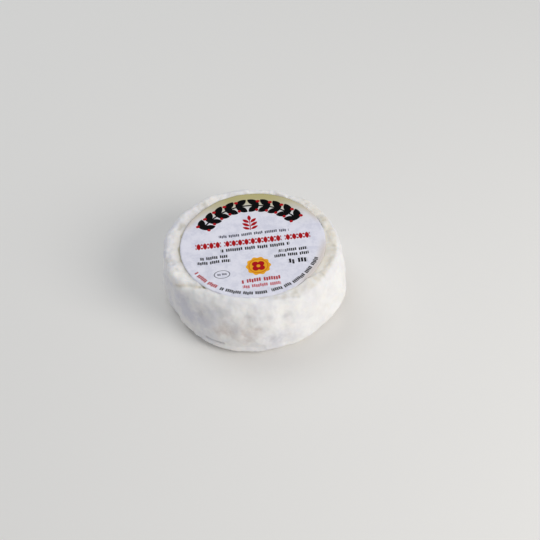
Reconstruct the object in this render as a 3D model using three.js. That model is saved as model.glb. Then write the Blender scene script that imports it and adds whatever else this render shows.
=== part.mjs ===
import * as THREE from "three";
import { mergeVertices } from "three/addons/utils/BufferGeometryUtils.js";
import { ParametricGeometry } from "three/addons/geometries/ParametricGeometry.js";

// A small round goat's cheese with a soft white rind, and the round paper label that lies on it.
// Millimetres and degrees. The origin is the middle of the flat foot, +Z is up,
// and +Y points to the upper edge of the label. Angles turn from +X towards +Y.

// The body is a low drum, a little wider at the foot, with a slightly bulging wall
const BODY_RADIUS = 30.15;
const BODY_HEIGHT = 22;
const FOOT_OVER_TOP = 2.0;
const WALL_BULGE = 1.35;
const FOOT_ROUND = 3.5;

// The drained curd never sets quite round: waves about the outline, with the size of each in millimetres
const OUTLINE_WAVES = [
  { count: 1, cosine: 0.07, sine: -0.36 },
  { count: 2, cosine: 0.12, sine: -0.58 },
  { count: 3, cosine: 0.13, sine: 0.19 },
  { count: 4, cosine: 0.03, sine: -0.05 },
  { count: 5, cosine: -0.28, sine: 0.04 },
  { count: 6, cosine: -0.05, sine: -0.15 },
];

// The label is a thin disc that lies in a shallow seat, a little nearer the front than the body's middle
const LABEL_RADIUS = 24;
const LABEL_CENTRE = new THREE.Vector2(0.3, -0.95);
const LABEL_THICKNESS = 0.3;
const LABEL_CLEARANCE = 0.05;
const LABEL_MARGIN = 0.3;
const SEAT_DEPTH = 0.35;
const SEAT_WAVE = { depth: 0.1, across: 19, along: 23 };

// The rim round the label, station by station: how softly the shoulder is rounded and how far it
// spreads, the radius, rise and two flank widths of its ridge, and how much of the gutter inside it
// there is. It is a broad roll on the left, a thin one at the back and a low one behind a gutter on
// the right, and it dies away into a plain soft shoulder at the front.
const RIM_STATIONS = [
  { at: -170, round: 1.0, spread: 1.3, crest: 28.0, rise: 0.95, inner: 4.0, outer: 1.5, gutter: 0 },
  { at: -160, round: 1.1, spread: 1.9, crest: 28.4, rise: 0.9, inner: 3.8, outer: 1.5, gutter: 0 },
  { at: -150, round: 1.4, spread: 1.7, crest: 28.0, rise: 0.75, inner: 3.0, outer: 1.6, gutter: 0 },
  { at: -141, round: 3.6, spread: 0.5, crest: 26.6, rise: 0.3, inner: 1.5, outer: 2.0, gutter: 0 },
  { at: -120, round: 4.6, spread: 0, crest: 26.2, rise: 0.1, inner: 1.4, outer: 2.0, gutter: 0 },
  { at: -90, round: 4.6, spread: 0, crest: 26.6, rise: 0.1, inner: 1.2, outer: 2.0, gutter: 0.1 },
  { at: -60, round: 4.0, spread: 0.3, crest: 28.0, rise: 0.15, inner: 1.4, outer: 2.0, gutter: 0.55 },
  { at: -35, round: 2.8, spread: 1.0, crest: 28.6, rise: 0.1, inner: 1.6, outer: 1.8, gutter: 0.85 },
  { at: -22, round: 2.0, spread: 1.6, crest: 28.8, rise: 0.1, inner: 1.6, outer: 1.6, gutter: 1 },
  { at: -3, round: 2.4, spread: 0.1, crest: 27.4, rise: 0.15, inner: 1.3, outer: 1.6, gutter: 0.9 },
  { at: 20, round: 3.2, spread: 0, crest: 26.4, rise: 0.25, inner: 1.0, outer: 1.6, gutter: 0.8 },
  { at: 40, round: 3.6, spread: -0.1, crest: 25.7, rise: 0.3, inner: 0.9, outer: 1.5, gutter: 0.6 },
  { at: 60, round: 3.8, spread: -0.6, crest: 24.9, rise: 0.35, inner: 0.9, outer: 1.5, gutter: 0.35 },
  { at: 90, round: 3.8, spread: 0, crest: 24.6, rise: 0.35, inner: 0.9, outer: 1.6, gutter: 0.25 },
  { at: 120, round: 3.0, spread: -0.5, crest: 25.2, rise: 0.55, inner: 0.9, outer: 1.9, gutter: 0.4 },
  { at: 150, round: 2.2, spread: 0.2, crest: 26.3, rise: 0.8, inner: 2.2, outer: 2.0, gutter: 0.3 },
  { at: 170, round: 1.2, spread: 0.1, crest: 27.3, rise: 0.9, inner: 3.4, outer: 1.6, gutter: 0 },
];
const SPREAD_FROM = 0.45;
const ROLL_LUMPS = { counts: [13, 22], share: 0.14 };
const GUTTER = { place: 1.8, width: 1.3, depth: 0.14 };

// The rim keeps its height until near the label, and falls to its edge: the power that the fall follows
const RIM_FULLNESS = 3.5;

// A crease where the roll on the left ends: it leaves the label and runs out and down the shoulder
const CREASE = {
  depth: 0.6,
  width: 0.8,
  path: [
    { at: -133, out: 24.3, up: 21.7 },
    { at: -140, out: 26.3, up: 21.6 },
    { at: -146, out: 28.0, up: 21.3 },
    { at: -150, out: 28.9, up: 20.3 },
    { at: -154, out: 29.1, up: 18.7 },
  ],
};

// The end of the roll stands over the crease like a lip
const CREASE_LIP = {
  depth: -0.35,
  width: 1.3,
  path: [
    { at: -140, out: 25.2, up: 22.2 },
    { at: -148, out: 27.1, up: 22.5 },
    { at: -154, out: 28.5, up: 22.0 },
    { at: -158, out: 29.2, up: 20.3 },
  ],
};

// A fainter fold in the rind in front of the label
const FRONT_FOLD = {
  depth: 0.4,
  width: 0.5,
  path: [
    { at: -64, out: 28.2, up: 20.3 },
    { at: -79, out: 26.1, up: 21.4 },
    { at: -90, out: 25.3, up: 21.7 },
  ],
};

// Where the curd was pressed out at the foot: a short flange
const FLANGE = {
  depth: -0.7,
  width: 1.1,
  path: [
    { at: -136, out: 29.6, up: 2.6 },
    { at: -124, out: 29.6, up: 2.1 },
    { at: -108, out: 29.8, up: 1.9 },
    { at: -92, out: 29.9, up: 1.7 },
  ],
};

// Broad places where the wall swells out, or falls in where the swelling is below nothing
const SWELLINGS = [
  { at: -179, up: 13.0, size: 4.5, swelling: -0.3 },
  { at: -172, up: 3.5, size: 3.5, swelling: 0.6 },
  { at: -157, up: 3.0, size: 2.4, swelling: -0.3 },
  { at: -134, up: 2.2, size: 2.6, swelling: -0.4 },
  { at: -96, up: 1.8, size: 4.2, swelling: -0.6 },
  { at: -84, up: 1.5, size: 3.0, swelling: -0.2 },
  { at: -68, up: 1.5, size: 4.0, swelling: 0.7 },
  { at: -47, up: 2.0, size: 3.8, swelling: -1.1 },
  { at: -27, up: 3.0, size: 4.5, swelling: 0.2 },
];

// Dimples left by the drainer and by handling: those of the front lie where the cheese shows them
const FRONT_DIMPLES = [
  { at: -162, up: 13.2, size: 2.4, depth: 0.45 },
  { at: -151, up: 11.0, size: 2.6, depth: 0.35 },
  { at: -146, up: 15.2, size: 2.2, depth: 0.4 },
  { at: -132, up: 14.0, size: 2.3, depth: 0.6 },
  { at: -118, up: 18.0, size: 2.2, depth: 0.35 },
  { at: -112, up: 10.4, size: 2.8, depth: 0.5 },
  { at: -99, up: 17.2, size: 2.0, depth: 0.3 },
  { at: -92, up: 12.4, size: 2.2, depth: 0.45 },
  { at: -85, up: 7.0, size: 2.4, depth: 0.35 },
  { at: -74, up: 15.7, size: 2.2, depth: 0.6 },
  { at: -60, up: 11.0, size: 3.0, depth: 0.5 },
  { at: -43, up: 15.0, size: 3.2, depth: 0.5 },
  { at: -36, up: 7.0, size: 2.8, depth: 0.4 },
];
const BACK_DIMPLES = { count: 26, from: -26, to: 190, low: 4, high: 18, size: 2.3, depth: 0.4 };
const DIMPLE_RANGE = { least: 0.75, most: 1.25 };
const GOLDEN_SHARE = 0.618034;

// Soft unevenness all over the rind: plane waves that cross in all directions, with a height that is a
// share of the wavelength
const RIND_SWELLS = { waves: 24, longest: 17, shortest: 4, steepness: 0.0058 };

// How finely the surfaces are faceted
const TURN_STEPS = 120;
const FOOT_FLAT_STEPS = [0, 0.45, 0.82];
const FOOT_ROUND_STEPS = 5;
const WALL_STEPS = 10;
const SHOULDER_STEPS = 7;
const RIM_STEPS = 6;
const SEAT_STEPS = [1, 0.93, 0.76, 0.52, 0.26, 0];
const GROOVE_STEPS_PER_WIDTH = 4;
const MERGE_DISTANCE = 1e-4;

const FULL_TURN = 360;

// A smooth swell that is 1 at the middle and has faded by about twice its width
function swell(distance, width) {
  return Math.exp(-((distance / width) ** 2));
}

// The point at an angle, a distance out from the axis and a height
function place({ at, out, up }) {
  const turn = THREE.MathUtils.degToRad(at);
  return new THREE.Vector3(out * Math.cos(turn), out * Math.sin(turn), up);
}

// The rim's sizes at an angle, eased from one station to the next
function rimAt(angle) {
  const count = RIM_STATIONS.length;
  const turned = THREE.MathUtils.euclideanModulo(angle - RIM_STATIONS[0].at, FULL_TURN);
  let next = RIM_STATIONS.findIndex((station) => station.at - RIM_STATIONS[0].at > turned);
  next = next < 0 ? count : next;
  const before = RIM_STATIONS[next - 1];
  const after = RIM_STATIONS[next % count];
  const gap = THREE.MathUtils.euclideanModulo(after.at - before.at, FULL_TURN);
  const along = THREE.MathUtils.euclideanModulo(angle - before.at, FULL_TURN) / gap;
  const eased = THREE.MathUtils.smoothstep(along, 0, 1);
  const mixed = {};
  for (const size of Object.keys(before)) {
    mixed[size] = THREE.MathUtils.lerp(before[size], after[size], eased);
  }
  return mixed;
}

// How far the outline departs from round at an angle
function outlineWave(angle) {
  const turn = THREE.MathUtils.degToRad(angle);
  let wave = 0;
  for (const { count, cosine, sine } of OUTLINE_WAVES) {
    wave += cosine * Math.cos(count * turn) + sine * Math.sin(count * turn);
  }
  return wave;
}

// The wall's departure from a plain drum at a height: the spread to the foot and the bulge
function wallLean(up, angle) {
  const share = up / BODY_HEIGHT;
  const spread = rimAt(angle).spread * THREE.MathUtils.smoothstep(share, SPREAD_FROM, 1);
  return FOOT_OVER_TOP * (0.5 - share) - WALL_BULGE * (2 * share - 1) ** 2 + spread;
}

function wallRadius(up, angle) {
  return BODY_RADIUS + outlineWave(angle) + wallLean(up, angle);
}

function dimpleOf({ at, up, size, depth }) {
  const out = wallRadius(up, at);
  return { centre: place({ at, out, up }), size, depth };
}

// The dimples on the sides and back are spread by the golden section, so that none line up
function backDimples() {
  const { count, from, to, low, high, size, depth } = BACK_DIMPLES;
  const dimples = [];
  for (let i = 0; i < count; i++) {
    const across = THREE.MathUtils.euclideanModulo((i + 1) * GOLDEN_SHARE, 1);
    const share = (i + 0.5) / count;
    const turn = THREE.MathUtils.euclideanModulo(i * GOLDEN_SHARE ** 2, 1);
    const ease = THREE.MathUtils.lerp(DIMPLE_RANGE.least, DIMPLE_RANGE.most, turn);
    dimples.push(
      dimpleOf({
        at: THREE.MathUtils.lerp(from, to, share),
        up: THREE.MathUtils.lerp(low, high, across),
        size: size * ease,
        depth: depth * ease,
      }),
    );
  }
  return dimples;
}

// A swelling is a dimple of the opposite depth
function swellingOf({ swelling, ...spot }) {
  return dimpleOf({ ...spot, depth: -swelling });
}

const dimples = [...FRONT_DIMPLES.map(dimpleOf), ...backDimples(), ...SWELLINGS.map(swellingOf)];

// The waves of the unevenness, headed by the golden section so that no two run alike
function rindWaves() {
  const { waves, longest, shortest, steepness } = RIND_SWELLS;
  return Array.from({ length: waves }, (_, i) => {
    const wavelength = longest * (shortest / longest) ** (i / (waves - 1));
    const climb = 2 * THREE.MathUtils.euclideanModulo(i * GOLDEN_SHARE ** 2, 1) - 1;
    const heading = place({ at: i * GOLDEN_SHARE * FULL_TURN, out: Math.sqrt(1 - climb ** 2), up: climb });
    return { height: steepness * wavelength, heading: heading.multiplyScalar((2 * Math.PI) / wavelength) };
  });
}

const swells = rindWaves();

// A groove, or a ridge where its depth is below nothing, is kept as points along its path, close
// enough together for its width
function grooveOf({ depth, width, path }) {
  const curve = new THREE.CatmullRomCurve3(path.map(place));
  const stepCount = Math.ceil((GROOVE_STEPS_PER_WIDTH * curve.getLength()) / width);
  return { depth, width, points: curve.getSpacedPoints(stepCount) };
}

const grooves = [CREASE, CREASE_LIP, FRONT_FOLD, FLANGE].map(grooveOf);

// How far the finished rind stands proud of the plain form at a point of it
function relief(point, angle) {
  const rim = rimAt(angle);
  const out = Math.hypot(point.x, point.y);
  const drop = BODY_HEIGHT - point.z;
  const fromCrest = Math.hypot(out - rim.crest, drop);
  const flank = out < rim.crest ? rim.inner : rim.outer;
  const [broad, fine] = ROLL_LUMPS.counts.map((count) => Math.sin(THREE.MathUtils.degToRad(count * angle)));
  let height = rim.rise * (1 + ROLL_LUMPS.share * (broad + fine)) * swell(fromCrest, flank);
  const fromLabel = Math.hypot(point.x - LABEL_CENTRE.x, point.y - LABEL_CENTRE.y) - LABEL_RADIUS;
  const fromGutter = Math.hypot(fromLabel - GUTTER.place, drop);
  height -= GUTTER.depth * rim.gutter * swell(fromGutter, GUTTER.width);
  for (const { depth, width, points } of grooves) {
    const nearest = Math.min(...points.map((spot) => spot.distanceTo(point)));
    height -= depth * swell(nearest, width);
  }
  for (const { centre, size, depth } of dimples) {
    height -= depth * swell(point.distanceTo(centre), size);
  }
  swells.forEach(({ height: crest, heading }, i) => {
    height += crest * Math.sin(point.dot(heading) + i);
  });
  return height;
}

// The seat under the label is flat but for a slow wave
function seatHeight(x, y) {
  const { depth, across, along } = SEAT_WAVE;
  const wave = Math.sin((2 * Math.PI * x) / across) * Math.sin((2 * Math.PI * y) / along);
  return BODY_HEIGHT - SEAT_DEPTH + depth * wave;
}

function seatPoint(angle, share) {
  const { x, y } = place({ at: angle, out: share * LABEL_RADIUS, up: 0 });
  const across = x + LABEL_CENTRE.x;
  const along = y + LABEL_CENTRE.y;
  return new THREE.Vector3(across, along, seatHeight(across, along));
}

// The relief starts at nothing on the flat foot and at the label's edge
function withRelief(point, normal, angle, share) {
  return point.clone().addScaledVector(normal, relief(point, angle) * share);
}

function footFlatPoint(angle, share) {
  const out = (wallRadius(0, angle) - FOOT_ROUND) * share;
  return place({ at: angle, out, up: 0 });
}

function footRoundPoint(angle, share) {
  const bend = (share * Math.PI) / 2;
  const up = FOOT_ROUND * (1 - Math.cos(bend));
  const plain = wallRadius(up, angle);
  const point = place({ at: angle, out: plain - FOOT_ROUND * (1 - Math.sin(bend)), up });
  return withRelief(point, place({ at: angle, out: 1, up: 0 }), angle, share);
}

function wallPoint(angle, share) {
  const up = THREE.MathUtils.lerp(FOOT_ROUND, BODY_HEIGHT - rimAt(angle).round, share);
  const point = place({ at: angle, out: wallRadius(up, angle), up });
  return withRelief(point, place({ at: angle, out: 1, up: 0 }), angle, 1);
}

// The shoulder's rounding reaches in as far as the label leaves room for
function shoulderReach(angle) {
  const edge = seatPoint(angle, 1);
  const top = wallRadius(BODY_HEIGHT, angle);
  return Math.min(rimAt(angle).round, top - Math.hypot(edge.x, edge.y) - LABEL_MARGIN);
}

function shoulderPoint(angle, share) {
  const bend = (share * Math.PI) / 2;
  const { round } = rimAt(angle);
  const up = BODY_HEIGHT - round * (1 - Math.sin(bend));
  const plain = wallRadius(up, angle);
  const point = place({ at: angle, out: plain - shoulderReach(angle) * (1 - Math.cos(bend)), up });
  return withRelief(point, place({ at: angle, out: Math.cos(bend), up: Math.sin(bend) }), angle, 1);
}

function rimPoint(angle, share) {
  const top = wallRadius(BODY_HEIGHT, angle);
  const outer = place({ at: angle, out: top - shoulderReach(angle), up: BODY_HEIGHT });
  const point = outer.lerp(seatPoint(angle, 1), share);
  return withRelief(point, new THREE.Vector3(0, 0, 1), angle, 1 - share ** RIM_FULLNESS);
}

// Rings of the cheese, from the middle of the foot round to the middle of the seat
function steps(count, pointAt) {
  return Array.from({ length: count }, (_, i) => (angle) => pointAt(angle, (i + 1) / count));
}

function rings(shares, pointAt) {
  return shares.map((share) => (angle) => pointAt(angle, share));
}

const CHEESE_RINGS = [
  ...rings([...FOOT_FLAT_STEPS, 1], footFlatPoint),
  ...steps(FOOT_ROUND_STEPS, footRoundPoint),
  ...steps(WALL_STEPS, wallPoint),
  ...steps(SHOULDER_STEPS, shoulderPoint),
  ...steps(RIM_STEPS, rimPoint),
  ...rings(SEAT_STEPS.slice(1), seatPoint),
];

function labelRing(share, lift) {
  return (angle) => seatPoint(angle, share).add(new THREE.Vector3(0, 0, lift));
}

// Rings of the label, from the middle of its underside round its edge to the middle of its face
const LABEL_RINGS = [
  ...[...SEAT_STEPS].reverse().map((share) => labelRing(share, LABEL_CLEARANCE)),
  ...SEAT_STEPS.map((share) => labelRing(share, LABEL_CLEARANCE + LABEL_THICKNESS)),
];

// One closed surface through the rings, each a full turn, without the triangles that the two poles
// leave with no width
function closedSurface(ringList) {
  const last = ringList.length - 1;
  const surface = new ParametricGeometry(
    (turn, along, target) => {
      const angle = (Math.round(turn * TURN_STEPS) % TURN_STEPS) * (FULL_TURN / TURN_STEPS);
      target.copy(ringList[Math.round(along * last)](angle));
    },
    TURN_STEPS,
    last,
  );
  surface.deleteAttribute("normal");
  surface.deleteAttribute("uv");
  const merged = mergeVertices(surface, MERGE_DISTANCE);
  const { array } = merged.index;
  const corners = [];
  for (let i = 0; i < array.length; i += 3) {
    const triangle = [...array.slice(i, i + 3)];
    if (new Set(triangle).size === 3) {
      corners.push(...triangle);
    }
  }
  merged.setIndex(corners);
  merged.computeVertexNormals();
  return merged;
}

const rindMaterial = new THREE.MeshStandardMaterial({ color: 0xe6e4de, roughness: 0.9, metalness: 0 });
const paperMaterial = new THREE.MeshStandardMaterial({ color: 0xd8d7e4, roughness: 0.6, metalness: 0 });

const cheese = new THREE.Mesh(closedSurface(CHEESE_RINGS), rindMaterial);
cheese.name = "cheese";
const label = new THREE.Mesh(closedSurface(LABEL_RINGS), paperMaterial);
label.name = "label";

const part = new THREE.Group();
part.add(cheese, label);

export default part;
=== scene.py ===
import functools
import math

import bmesh
import bpy
import numpy as np
from mathutils import Matrix, Vector, noise


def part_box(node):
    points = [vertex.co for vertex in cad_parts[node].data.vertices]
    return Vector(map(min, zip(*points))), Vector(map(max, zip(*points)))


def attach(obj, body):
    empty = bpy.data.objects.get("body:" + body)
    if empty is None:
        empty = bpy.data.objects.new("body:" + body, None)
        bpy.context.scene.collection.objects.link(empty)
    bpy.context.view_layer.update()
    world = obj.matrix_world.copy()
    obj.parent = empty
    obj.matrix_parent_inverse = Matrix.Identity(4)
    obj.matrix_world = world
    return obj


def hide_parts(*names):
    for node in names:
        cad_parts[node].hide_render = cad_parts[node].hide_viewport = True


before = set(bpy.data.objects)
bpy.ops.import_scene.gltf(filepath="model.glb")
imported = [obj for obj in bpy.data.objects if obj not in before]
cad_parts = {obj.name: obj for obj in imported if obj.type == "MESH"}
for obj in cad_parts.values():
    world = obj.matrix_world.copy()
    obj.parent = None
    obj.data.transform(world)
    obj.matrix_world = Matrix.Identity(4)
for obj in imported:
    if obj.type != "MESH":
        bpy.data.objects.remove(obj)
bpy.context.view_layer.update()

# The cheese
# One soft piece of goat's curd, drained in a round mould and ripened until a white velvety rind has
# grown all over it: a low drum whose rim rolled over on the left, round a shallow seat for its label.
BODY_RADIUS = 0.03015
BODY_HEIGHT = 0.022
FOOT_OVER_TOP = 0.002  # how much farther out the wall stands at the foot than at the top
WALL_BULGE = 0.00135
FOOT_ROUND = 0.0035
OUTLINE_WAVES = (  # waves round the outline: how many, with their cosine and sine parts
    (1, 0.00007, -0.00036),
    (2, 0.00012, -0.00058),
    (3, 0.00013, 0.00019),
    (4, 0.00003, -0.00005),
    (5, -0.00028, 0.00004),
    (6, -0.00005, -0.00015),
)
label_low, label_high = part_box("label")
LABEL_CENTRE = (label_low + label_high) / 2
LABEL_RADIUS = (label_high.x - label_low.x) / 2
LABEL_MARGIN = 0.0003
SEAT_DEPTH = 0.00035
SEAT_WAVE = (0.0001, 0.019, 0.023)  # its height and its lengths across and along
# Round the rim, by angle in degrees: the round of the shoulder, how far the wall's top spreads, where the
# roll has its crest and how high it rises, how wide its flanks are, and how damp the rind is
RIM_SIZES = ("at", "round", "spread", "crest", "rise", "inner", "outer", "damp")
RIM_STATIONS = np.array((
    (-170, 0.0010, 0.0013, 0.0280, 0.00095, 0.0040, 0.0015, 0),
    (-160, 0.0011, 0.0019, 0.0284, 0.00090, 0.0038, 0.0015, 0),
    (-150, 0.0014, 0.0017, 0.0280, 0.00075, 0.0030, 0.0016, 0),
    (-141, 0.0036, 0.0005, 0.0266, 0.00030, 0.0015, 0.0020, 0),
    (-120, 0.0046, 0, 0.0262, 0.00010, 0.0014, 0.0020, 0),
    (-90, 0.0046, 0, 0.0266, 0.00010, 0.0012, 0.0020, 0.1),
    (-60, 0.0040, 0.0003, 0.0280, 0.00015, 0.0014, 0.0020, 0.55),
    (-35, 0.0028, 0.0010, 0.0286, 0.00010, 0.0016, 0.0018, 0.85),
    (-22, 0.0020, 0.0016, 0.0288, 0.00010, 0.0016, 0.0016, 1),
    (-3, 0.0024, 0.0001, 0.0274, 0.00015, 0.0013, 0.0016, 0.9),
    (20, 0.0032, 0, 0.0264, 0.00025, 0.0010, 0.0016, 0.8),
    (40, 0.0036, -0.0001, 0.0257, 0.00030, 0.0009, 0.0015, 0.6),
    (60, 0.0038, -0.0006, 0.0249, 0.00035, 0.0009, 0.0015, 0.35),
    (90, 0.0038, 0, 0.0246, 0.00035, 0.0009, 0.0016, 0.25),
    (120, 0.0030, -0.0005, 0.0252, 0.00055, 0.0009, 0.0019, 0.4),
    (150, 0.0022, 0.0002, 0.0263, 0.00080, 0.0022, 0.0020, 0.3),
    (170, 0.0012, 0.0001, 0.0273, 0.00090, 0.0034, 0.0016, 0),
))
SPREAD_FROM = 0.45  # the share of the height above which the wall's top spreads
RIM_FULLNESS = 3.5  # how near the label the rim keeps its relief


def fade(distance, width):
    """1 at no distance, fading to 0 beyond a width."""
    return np.exp(-((distance / width) ** 2))


def ease(share):
    """A share held between 0 and 1, with soft ends."""
    share = np.clip(share, 0, 1)
    return share * share * (3 - 2 * share)


def place(at, out, up):
    """A point at an angle in degrees, a way out from the axis and a height."""
    turn = np.radians(at)
    return np.stack(np.broadcast_arrays(out * np.cos(turn), out * np.sin(turn), up), axis=-1)


def turned_away(at, angle):
    """How many degrees lie between angles and one angle, from -180 to 180."""
    return np.mod(at - angle + 180, 360) - 180


def rim_at(at):
    """The rim's sizes at angles in degrees, eased from one station to the next."""
    stations = RIM_STATIONS[:, 0]
    turned = np.mod(at - stations[0], 360)
    before = np.searchsorted(stations - stations[0], turned, side="right") - 1
    after = (before + 1) % len(stations)
    gap = np.mod(stations[after] - stations[before], 360)
    share = ease(np.mod(at - stations[before], 360) / gap)
    mixed = RIM_STATIONS[before] + (RIM_STATIONS[after] - RIM_STATIONS[before]) * share[:, None]
    return dict(zip(RIM_SIZES, mixed.T))


def wall_radius(up, at):
    """How far out the wall stands at a height and angles."""
    share = up / BODY_HEIGHT
    radius = BODY_RADIUS + FOOT_OVER_TOP * (0.5 - share) - WALL_BULGE * (2 * share - 1) ** 2
    radius = radius + rim_at(at)["spread"] * ease((share - SPREAD_FROM) / (1 - SPREAD_FROM))
    for count, cosine, sine in OUTLINE_WAVES:
        turn = np.radians(count * at)
        radius = radius + cosine * np.cos(turn) + sine * np.sin(turn)
    return radius


def seat_height(x, y):
    """How high the label's seat lies at a place."""
    height, across, along = SEAT_WAVE
    wave = np.sin(2 * np.pi * x / across) * np.sin(2 * np.pi * y / along)
    return BODY_HEIGHT - SEAT_DEPTH + height * wave


def seat_point(at, share):
    """Points of the seat, at a share of the way from its middle to its edge."""
    spots = place(at, share * LABEL_RADIUS, 0) + np.array((LABEL_CENTRE.x, LABEL_CENTRE.y, 0))
    spots[:, 2] = seat_height(spots[:, 0], spots[:, 1])
    return spots


def shoulder_reach(at):
    """How far in the shoulder's round goes, at most as far as leaves the label its room."""
    edge = seat_point(at, 1)
    room = wall_radius(BODY_HEIGHT, at) - np.hypot(edge[:, 0], edge[:, 1]) - LABEL_MARGIN
    return np.minimum(rim_at(at)["round"], room)


# The section has six stretches, from the middle of the foot up and in to the middle of the seat. Each
# gives its plain points, the way that the rind's relief lifts them and the share of the relief there
def foot_flat(at, share):
    return place(at, (wall_radius(0, at) - FOOT_ROUND) * share, 0), place(at, 1, 0), 0 * share


def foot_round(at, share):
    bend = share * np.pi / 2
    up = FOOT_ROUND * (1 - np.cos(bend))
    out = wall_radius(up, at) - FOOT_ROUND * (1 - np.sin(bend))
    return place(at, out, up), place(at, 1, 0), share


def wall(at, share):
    up = FOOT_ROUND + (BODY_HEIGHT - rim_at(at)["round"] - FOOT_ROUND) * share
    return place(at, wall_radius(up, at), up), place(at, 1, 0), 1


def shoulder(at, share):
    bend = share * np.pi / 2
    up = BODY_HEIGHT - rim_at(at)["round"] * (1 - np.sin(bend))
    out = wall_radius(up, at) - shoulder_reach(at) * (1 - np.cos(bend))
    return place(at, out, up), place(at, np.cos(bend), np.sin(bend)), 1


def rim(at, share):
    outer = place(at, wall_radius(BODY_HEIGHT, at) - shoulder_reach(at), BODY_HEIGHT)
    return outer + (seat_point(at, 1) - outer) * share[:, None], place(at, 0, 1), 1 - share ** RIM_FULLNESS


def seat(at, share):
    return seat_point(at, 1 - share), place(at, 0, 1), 0 * share


def lattice(spots, size):
    """Smooth noise with grains of a size at each point."""
    return np.array([noise.noise(Vector(spot) / size) for spot in spots])


TONES = ("cream", "olive", "grey", "brown", "thin")  # tones of the rind, the last where its bloom is thin and also where shade is painted on the wall and rim
WANDER_SIZE, WANDER_REACH = 0.0026, 0.0009  # the bends in seam and folds, and how far they go


class Rind:
    """Points of the plain form, how far the rind stands proud there, and how strong each tone is."""

    def __init__(self, spots, at):
        self.spots = spots
        self.at = at
        self.rim = rim_at(at)
        self.out = np.hypot(spots[:, 0], spots[:, 1])
        self.drop = BODY_HEIGHT - spots[:, 2]
        from_middle = np.hypot(spots[:, 0] - LABEL_CENTRE.x, spots[:, 1] - LABEL_CENTRE.y)
        self.from_label = from_middle - LABEL_RADIUS
        self.wander = WANDER_REACH * lattice(spots, WANDER_SIZE)
        self.height = np.zeros(len(spots))
        self.tones = {tone: np.zeros(len(spots)) for tone in TONES}

    def mark(self, share, height=0, cream=0, **others):
        """Adds a height and tones in proportion to a share. Cream doesn't add up: the strongest shows."""
        self.height += height * share
        self.tones["cream"] = np.maximum(self.tones["cream"], cream * share)
        for tone, strength in others.items():
            self.tones[tone] += strength * share

    def near(self, angle, out, up, size):
        """1 at a place, fading to 0 a size away from it."""
        return fade(np.linalg.norm(self.spots - place(angle, out, up), axis=1), size)

    def on_wall(self, angle, up, size):
        """The same for a place on the wall, which needs no way out."""
        turned = np.array([angle], float)
        return self.near(turned, wall_radius(up, turned), up, size)

    def towards(self, angle, spread):
        """1 at an angle, fading to 0 a spread away from it, both in degrees."""
        return fade(turned_away(self.at, angle), spread)


ROLL_LUMPS = (13, 22)  # how many lumps the roll has all round, in two sets
ROLL_LUMP_SHARE = 0.14
GUTTER_PLACE, GUTTER_WIDTH, GUTTER_DEPTH = 0.0018, 0.0013, 0.00014  # the damp band's hollow
BAND_FROM, BAND_TO = 0.0046, 0.0030  # where the damp band begins and is whole, measured from the label
BAND_DROP = 0.0030  # how far down from the rim the damp goes


def rolled_rim(rind):
    """The rim that rolled over, and the damp band beside the label with its shallow hollow."""
    lumps = 1 + ROLL_LUMP_SHARE * sum(np.sin(np.radians(count * rind.at)) for count in ROLL_LUMPS)
    flank = np.where(rind.out < rind.rim["crest"], rind.rim["inner"], rind.rim["outer"])
    roll = fade(np.hypot(rind.out - rind.rim["crest"], rind.drop), flank)
    rind.mark(lumps * roll, height=rind.rim["rise"])
    gutter = fade(np.hypot(rind.from_label - GUTTER_PLACE, rind.drop), GUTTER_WIDTH)
    rind.mark(rind.rim["damp"] * gutter, height=-GUTTER_DEPTH)
    band = ease((BAND_FROM - rind.from_label) / (BAND_FROM - BAND_TO)) * fade(rind.drop, BAND_DROP)
    rind.mark(rind.rim["damp"] * band, cream=1)


SEAM_AT, SEAM_SPREAD, SEAM_WIDTH = 176, 30, 0.0006  # the seam between the rolled rim and the label, painted dark olive: its shade, tinted by damp
SLOPE_SPREAD, SLOPE_WIDTH = 60, 0.0036  # the slope from the rolled rim down to the label, painted damp cream and grey shade
SLOPE_CREAM, SLOPE_SHADE = 0.6, 0.3
FLANK_WIDTH, FLANK_SHADE = 0.0012, 0.8  # where that slope's painted shade is darkest, beside the label
OLIVE_SPOTS = (  # angle, way out, height, size and strength of the olive spots where damp has stood
    (-134, 0.0245, 0.0217, 0.0006, 0.9),
    (-136.5, 0.0253, 0.0217, 0.0006, 0.7),
    (-116, 0.0258, 0.0217, 0.0008, 0.3),
    (-64, 0.0262, 0.0213, 0.0014, 0.36),
    (-55, 0.0276, 0.0210, 0.0011, 0.25),
    (-41, 0.0276, 0.0214, 0.0017, 0.32),
    (-30, 0.0282, 0.0216, 0.0015, 0.3),
    (-12, 0.0270, 0.0220, 0.0010, 0.22),
    (15, 0.0253, 0.0219, 0.0015, 0.42),
    (152, 0.0240, 0.0223, 0.0006, 0.5),
    (157, 0.0252, 0.0226, 0.0011, 0.25),
    (165, 0.0274, 0.0228, 0.0011, 0.28),
    (-170, 0.0265, 0.0229, 0.0012, 0.25),
    (-160, 0.0270, 0.0228, 0.0012, 0.25),
)
DAMP_SPOTS = (  # angle, way out, height and size of the damp spots in front, and how creamy and grey they are
    (-79, 0.0259, 0.0214, 0.0012, 0.7, 0.65),
    (-73, 0.0263, 0.0213, 0.0014, 0.7, 0.65),
    (-67, 0.0268, 0.0212, 0.0017, 0.7, 0.75),
    (-59, 0.0270, 0.0213, 0.0018, 0.8, 0.7),
    (-52, 0.0264, 0.0216, 0.0020, 0.8, 0.4),
    (-45, 0.0262, 0.0217, 0.0022, 0.8, 0.45),
)


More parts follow.
